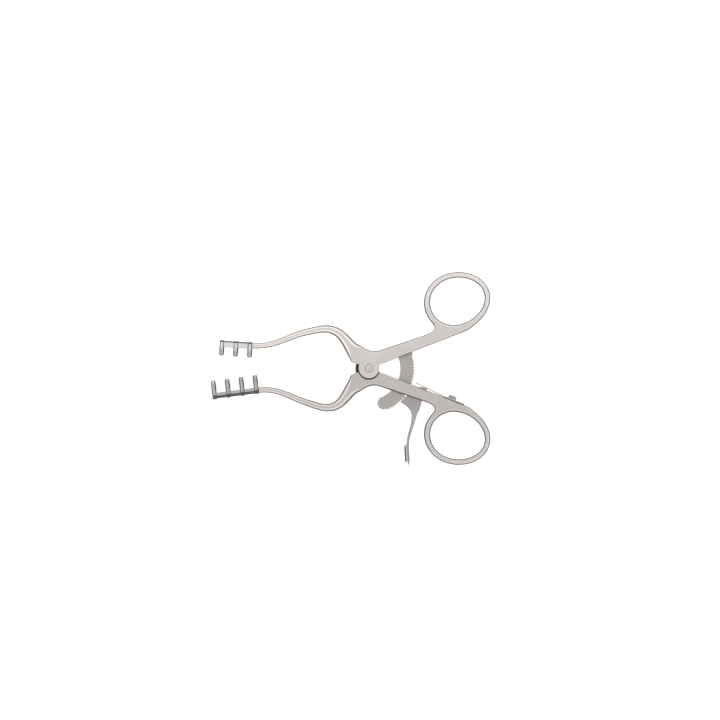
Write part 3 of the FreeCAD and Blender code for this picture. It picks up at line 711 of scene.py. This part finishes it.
# painted shade: the ridges are written near black for the shade between them
ridge_painted_shade = steel("pad ridge painted shade", (0.09, 0.085, 0.08), 0.5, mottle=0.15)
pad_t, pad_long, pad_wide = 1.0 * mm, 7.8 * mm, 8.0 * mm
ridge_h, curl_r, ridge_count = 0.35 * mm, 0.5 * mm, 10
pad_lean = radians(3)
pad_out = -unit(pad_lean)
pad_down = np.array([-pad_out[1], pad_out[0]])
pad_back = np.array([pin_x - 3.85, -pin_y - 24.0]) * mm
pad_low, pad_high = mid - pad_wide / 2, mid + pad_wide / 2


def on_pad(out, down):
    """Points of the pad, out from its back and down along it."""
    return pad_back + np.outer(np.atleast_1d(out), pad_out) + np.outer(np.atleast_1d(down), pad_down)


pad_sheet = 0.6 * mm
pad_rim, curl_rim, ridge_inset = 0.12 * mm, 0.1 * mm, 0.05 * mm
pad_body = forged(edge(on_pad([0, pad_sheet, pad_sheet, 0], [0, 0, pad_long, pad_long]),
                       pad_rim, pad_rim), low=pad_low, high=pad_high)
# crests and feet of the ridges down the face, closed inside the pad
foot_down = np.linspace(2 * curl_r, pad_long, 2 * ridge_count + 1)
crest_out = pad_t + ridge_h * (np.arange(2 * ridge_count + 1) % 2)
ridge_back = on_pad([0.5 * pad_sheet] * 2, [pad_long - 0.1 * mm, 2 * curl_r])
ridges = forged(edge(np.concatenate([on_pad(crest_out, foot_down), ridge_back]), sharp, sharp),
                low=pad_low + ridge_inset, high=pad_high - ridge_inset)
curl = disc(curl_r, pad_low, pad_high, on_pad(pad_t, curl_r)[0], curl_rim, 40)
pad_steels = [pad_steel, ridge_painted_shade]
pad_mesh = worked(pad_steels, pad_body, ("UNION", curl, 0), ("UNION", ridges, 1))
pad = piece("thumb_pad_serrated", pad_mesh, "lever", "lever_steel", *pad_steels)
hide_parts("thumb_pad")

# Leaf spring. A strip of spring steel, screwed to the lower arm and bent up to the lever's
# heel, which lifts it when the lever is pressed.

spring_steel = steel("spring polished steel", (0.6, 0.57, 0.56), 0.25, mottle=0.04)
leaf_t = 0.5 * mm
leaf_wide = 3.8 * mm
seat_gap = 0.02 * mm
heel_at = lever_pin_at + np.array([4.75, -1.3]) * mm
heel_r = 0.65 * mm
screw_along = 40.6 * mm
knee_along, rear_along, tip_past = 38.3 * mm, 46.6 * mm, 5.2 * mm
knee_pull = 0.7 * mm
leaf_corner = 0.15 * mm
drill_wide, drill_corner, drill_half = 2.04 * mm, 1.019 * mm, 3 * mm

# laid out above the axis like the arms, and then mirrored
knee = shank(knee_along, -seat_gap)
rear = shank(rear_along, -seat_gap)
to_heel = heel_at - knee
lean = np.arcsin(heel_r / np.linalg.norm(to_heel))
free = unit(atan2(to_heel[1], to_heel[0]) + lean)
tip = knee + free * (np.linalg.norm(to_heel) + tip_past)
seat_way = unit(shank_angle)
turned_by = 2.2 * mm
leaf_line = np.concatenate([
    rear + (knee + seat_way * turned_by - rear) * np.linspace(0, 1, 12)[:-1, None],
    bend(knee + seat_way * turned_by, knee + seat_way * knee_pull, knee + free * knee_pull,
         knee + free * turned_by, 16)[:-1],
    knee + free * turned_by + (tip - knee - free * turned_by) * np.linspace(0, 1, 50)[:, None]])
leaf_way = np.gradient(leaf_line, axis=0)
leaf_way /= np.linalg.norm(leaf_way, axis=1)[:, None]
leaf_out = np.column_stack([-leaf_way[:, 1], leaf_way[:, 0]])
leaf_middle = leaf_line + leaf_out * leaf_t / 2
flat_z = np.zeros(len(leaf_line))
leaf_solid = tube(np.column_stack([leaf_middle, flat_z + mid]), np.column_stack([leaf_out, flat_z]),
                  np.tile([0.0, 0.0, 1.0], (len(leaf_line), 1)), leaf_t, leaf_wide, leaf_corner)
axis_out = unit(shank_angle - pi / 2)
drill_ends = shank(screw_along, 0) + np.outer([-drill_half, drill_half], axis_out)
drill = tube(np.column_stack([drill_ends, [mid, mid]]), np.tile([*seat_way, 0], (2, 1)),
             np.tile([0.0, 0.0, 1.0], (2, 1)), drill_wide, drill_wide, drill_corner)
leaf_mesh = worked([spring_steel], mirrored(leaf_solid), ("DIFFERENCE", mirrored(drill), 0))
leaf = piece("leaf_spring_strip", leaf_mesh, None, "spring_steel", spring_steel)
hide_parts("leaf_spring")
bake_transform(leaf)

# Pivot screw. Turned, riveted over and polished: its low dome stands in the upper arm's
# counterbore, with a fine groove round it.

# painted shade: the screw's steep faces, its groove among them, are written 70 per cent darker
screw_steel = steel("screw turned steel", (0.66, 0.63, 0.61), 0.2, mottle=0.06, wall=0.7)


def turned(rings, count=64):
    """Solid of revolution about the Z axis: each ring gives a radius and a height, and the
    first and the last close to a point on the axis."""
    turn = np.linspace(0, 2 * pi, count, endpoint=False)
    radius, height = np.array(rings).T
    points = np.stack([np.outer(radius[1:-1], np.cos(turn)), np.outer(radius[1:-1], np.sin(turn)),
                       np.repeat(height[1:-1, None], count, 1)], 2).reshape(-1, 3)
    points = np.concatenate([points, [[0, 0, height[0]], [0, 0, height[-1]]]])
    levels = len(rings) - 2
    index = np.arange(levels * count).reshape(levels, count)
    nxt = np.roll(index, -1, 1)
    faces = np.stack([index[:-1], nxt[:-1], nxt[1:], index[1:]], 2).reshape(-1, 4).tolist()
    first, last = levels * count, levels * count + 1
    faces += [(first, b, a) for a, b in zip(index[0], nxt[0])]
    faces += [(last, a, b) for a, b in zip(index[-1], nxt[-1])]
    return points, faces


foot_r, shaft_r, head_r = 1.25 * mm, 1.3 * mm, 1.8 * mm
land_outer, land_inner, groove_r = 1.72 * mm, 1.66 * mm, 1.58 * mm
head_depth, foot_bevel, head_bevel = 1.0 * mm, 0.05 * mm, 0.08 * mm
dome_r, dome_h, dome_sunk, groove = 1.55 * mm, 0.3 * mm, 0.1 * mm, 0.25 * mm
dome_turn = np.linspace(pi / 2, 0.08, 9)
pivot_rings = [(0, 0), (foot_r, 0), (shaft_r, foot_bevel), (shaft_r, plate - head_depth),
               (head_r, plate - head_depth), (head_r, plate - head_bevel), (land_outer, plate),
               (land_inner, plate), (groove_r, plate - groove)]
pivot_rings += list(zip(dome_r * np.sin(dome_turn), plate - dome_sunk + dome_h * np.cos(dome_turn)))
pivot_rings += [(0, plate - dome_sunk + dome_h)]
pivot = piece("pivot_screw_turned", turned(pivot_rings), "fixed_arm", "screw_steel", screw_steel,
              crease=40)
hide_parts("pivot_screw")

# Spring screw, lever pin and rivets, turned from bar. The pin and the rivets are ground
# flush with the arms, so that only a hair line shows.

small_steel = steel("small screw steel", (0.30, 0.285, 0.28), 0.35, mottle=0.1)
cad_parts["spring_screw"].data.materials[0] = small_steel
# the rivets take the upper arm's steel with its painted light
for name, finish in (("lever_pin", arm_steel), ("ratchet_rivets", upper_arm_painted_light_steel)):
    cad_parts[name].data.materials[0] = finish

# Floor, light and camera. A white table seen from above, under one broad soft lamp that
# is left out of gloss, a white world, and glowing screens round the table.

floor_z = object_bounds()[0].z - 0.1 * mm
floor_mesh = bpy.data.meshes.new("floor")
reach = 3.0
floor_mesh.from_pydata([(-reach, -reach, floor_z), (reach, -reach, floor_z),
                        (reach, reach, floor_z), (-reach, reach, floor_z)], [], [(0, 1, 2, 3)])
floor = bpy.data.objects.new("floor", floor_mesh)
bpy.context.scene.collection.objects.link(floor)


def seen_white(tree, lit, white):
    """Mixes a lit surface with a plain white one for camera, glossy and transmission rays."""
    path = tree.nodes.new("ShaderNodeLightPath")
    total = path.outputs["Is Camera Ray"]
    for kind in ("Is Glossy Ray", "Is Transmission Ray"):
        both = tree.nodes.new("ShaderNodeMath")
        both.operation = "MAXIMUM"
        tree.links.new(total, both.inputs[0])
        tree.links.new(path.outputs[kind], both.inputs[1])
        total = both.outputs["Value"]
    mix = tree.nodes.new("ShaderNodeMixShader")
    tree.links.new(total, mix.inputs["Fac"])
    tree.links.new(lit, mix.inputs[1])
    tree.links.new(white, mix.inputs[2])
    return mix.outputs["Shader"]


table = bpy.data.materials.new("white table")
table.use_nodes = True
table_nodes, table_links = table.node_tree.nodes, table.node_tree.links
top = table_nodes["Principled BSDF"]
top.inputs["Base Color"].default_value = (0.85, 0.85, 0.85, 1)
top.inputs["Roughness"].default_value = 0.9
glow = table_nodes.new("ShaderNodeEmission")
glow.inputs["Strength"].default_value = 0.4
extra = table_nodes.new("ShaderNodeAddShader")
table_links.new(top.outputs["BSDF"], extra.inputs[0])
table_links.new(glow.outputs["Emission"], extra.inputs[1])
seen = seen_white(table.node_tree, top.outputs["BSDF"], extra.outputs["Shader"])
table_links.new(seen, table_nodes["Material Output"].inputs["Surface"])
floor_mesh.materials.append(table)

world = bpy.data.worlds.new("studio")
bpy.context.scene.world = world
world.use_nodes = True
sky = world.node_tree.nodes["Background"]
sky.inputs["Color"].default_value = (1, 1, 1, 1)
sky.inputs["Strength"].default_value = 0.8
backdrop = world.node_tree.nodes.new("ShaderNodeBackground")
backdrop.inputs["Strength"].default_value = 1.0
seen = seen_white(world.node_tree, sky.outputs["Background"], backdrop.outputs["Background"])
world.node_tree.links.new(seen, world.node_tree.nodes["World Output"].inputs["Surface"])

lamp_data = bpy.data.lights.new("soft box", "AREA")
lamp_data.shape = "SQUARE"
lamp_data.size = 0.9
lamp_data.energy = 0.9
lamp = bpy.data.objects.new("soft box", lamp_data)
lamp.location = (0, 0, 1.5)
lamp.visible_glossy = False
bpy.context.scene.collection.objects.link(lamp)

# pale glowing screens round the table, out of the camera's sight, dim at their foot, which
# steel needs to show its form
screen_r, screen_top, sides = 0.7, 0.9, 48
turn = np.linspace(0, 2 * pi, sides, endpoint=False)
circle = np.stack([screen_r * np.cos(turn), screen_r * np.sin(turn)], 1)
screen_points = np.concatenate([np.column_stack([circle, np.full(sides, floor_z)]),
                                np.column_stack([circle, np.full(sides, screen_top)])])
one = np.arange(sides)
two = (one + 1) % sides
screen_mesh = bpy.data.meshes.new("pale screens")
screen_faces = np.stack([two, one, one + sides, two + sides], 1)
screen_mesh.from_pydata(screen_points.tolist(), [], screen_faces.tolist())
screen = bpy.data.objects.new("pale screens", screen_mesh)
screen.visible_camera = False
screen.visible_shadow = False
bpy.context.scene.collection.objects.link(screen)
cloth = bpy.data.materials.new("lit screen cloth")
cloth.use_nodes = True
cloth_nodes, cloth_links = cloth.node_tree.nodes, cloth.node_tree.links
cloth_glow = cloth_nodes.new("ShaderNodeEmission")
height = cloth_nodes.new("ShaderNodeSeparateXYZ")
cloth_links.new(cloth_nodes.new("ShaderNodeTexCoord").outputs["Object"], height.inputs["Vector"])
fade = cloth_nodes.new("ShaderNodeMapRange")
fade.inputs["From Min"].default_value = 0.1
fade.inputs["From Max"].default_value = 0.3
fade.inputs["To Min"].default_value = 0.25
fade.inputs["To Max"].default_value = 1.8
cloth_links.new(height.outputs["Z"], fade.inputs["Value"])
cloth_links.new(fade.outputs["Result"], cloth_glow.inputs["Strength"])
cloth_links.new(cloth_glow.outputs["Emission"], cloth_nodes["Material Output"].inputs["Surface"])
screen_mesh.materials.append(cloth)

# the photograph looks straight down but for a small tilt, and the pivot is at its pixel
picture = 720
pixel = 0.458 * mm
pivot_across, pivot_down = 368.9, 368.2
tilt = radians(2.7)
distance = 3.5
aim = np.array([(picture / 2 - pivot_across) * pixel, (pivot_down - picture / 2) * pixel, plate])
camera_data = bpy.data.cameras.new("camera")
camera_data.sensor_width = 36
camera_data.lens = 36 * distance / (picture * pixel)
camera = bpy.data.objects.new("camera", camera_data)
camera.location = aim + distance * np.array([0, -sin(tilt), cos(tilt)])
camera.rotation_euler = (tilt, 0, 0)
bpy.context.scene.collection.objects.link(camera)
bpy.context.scene.camera = camera
bpy.context.scene.view_settings.view_transform = "Standard"
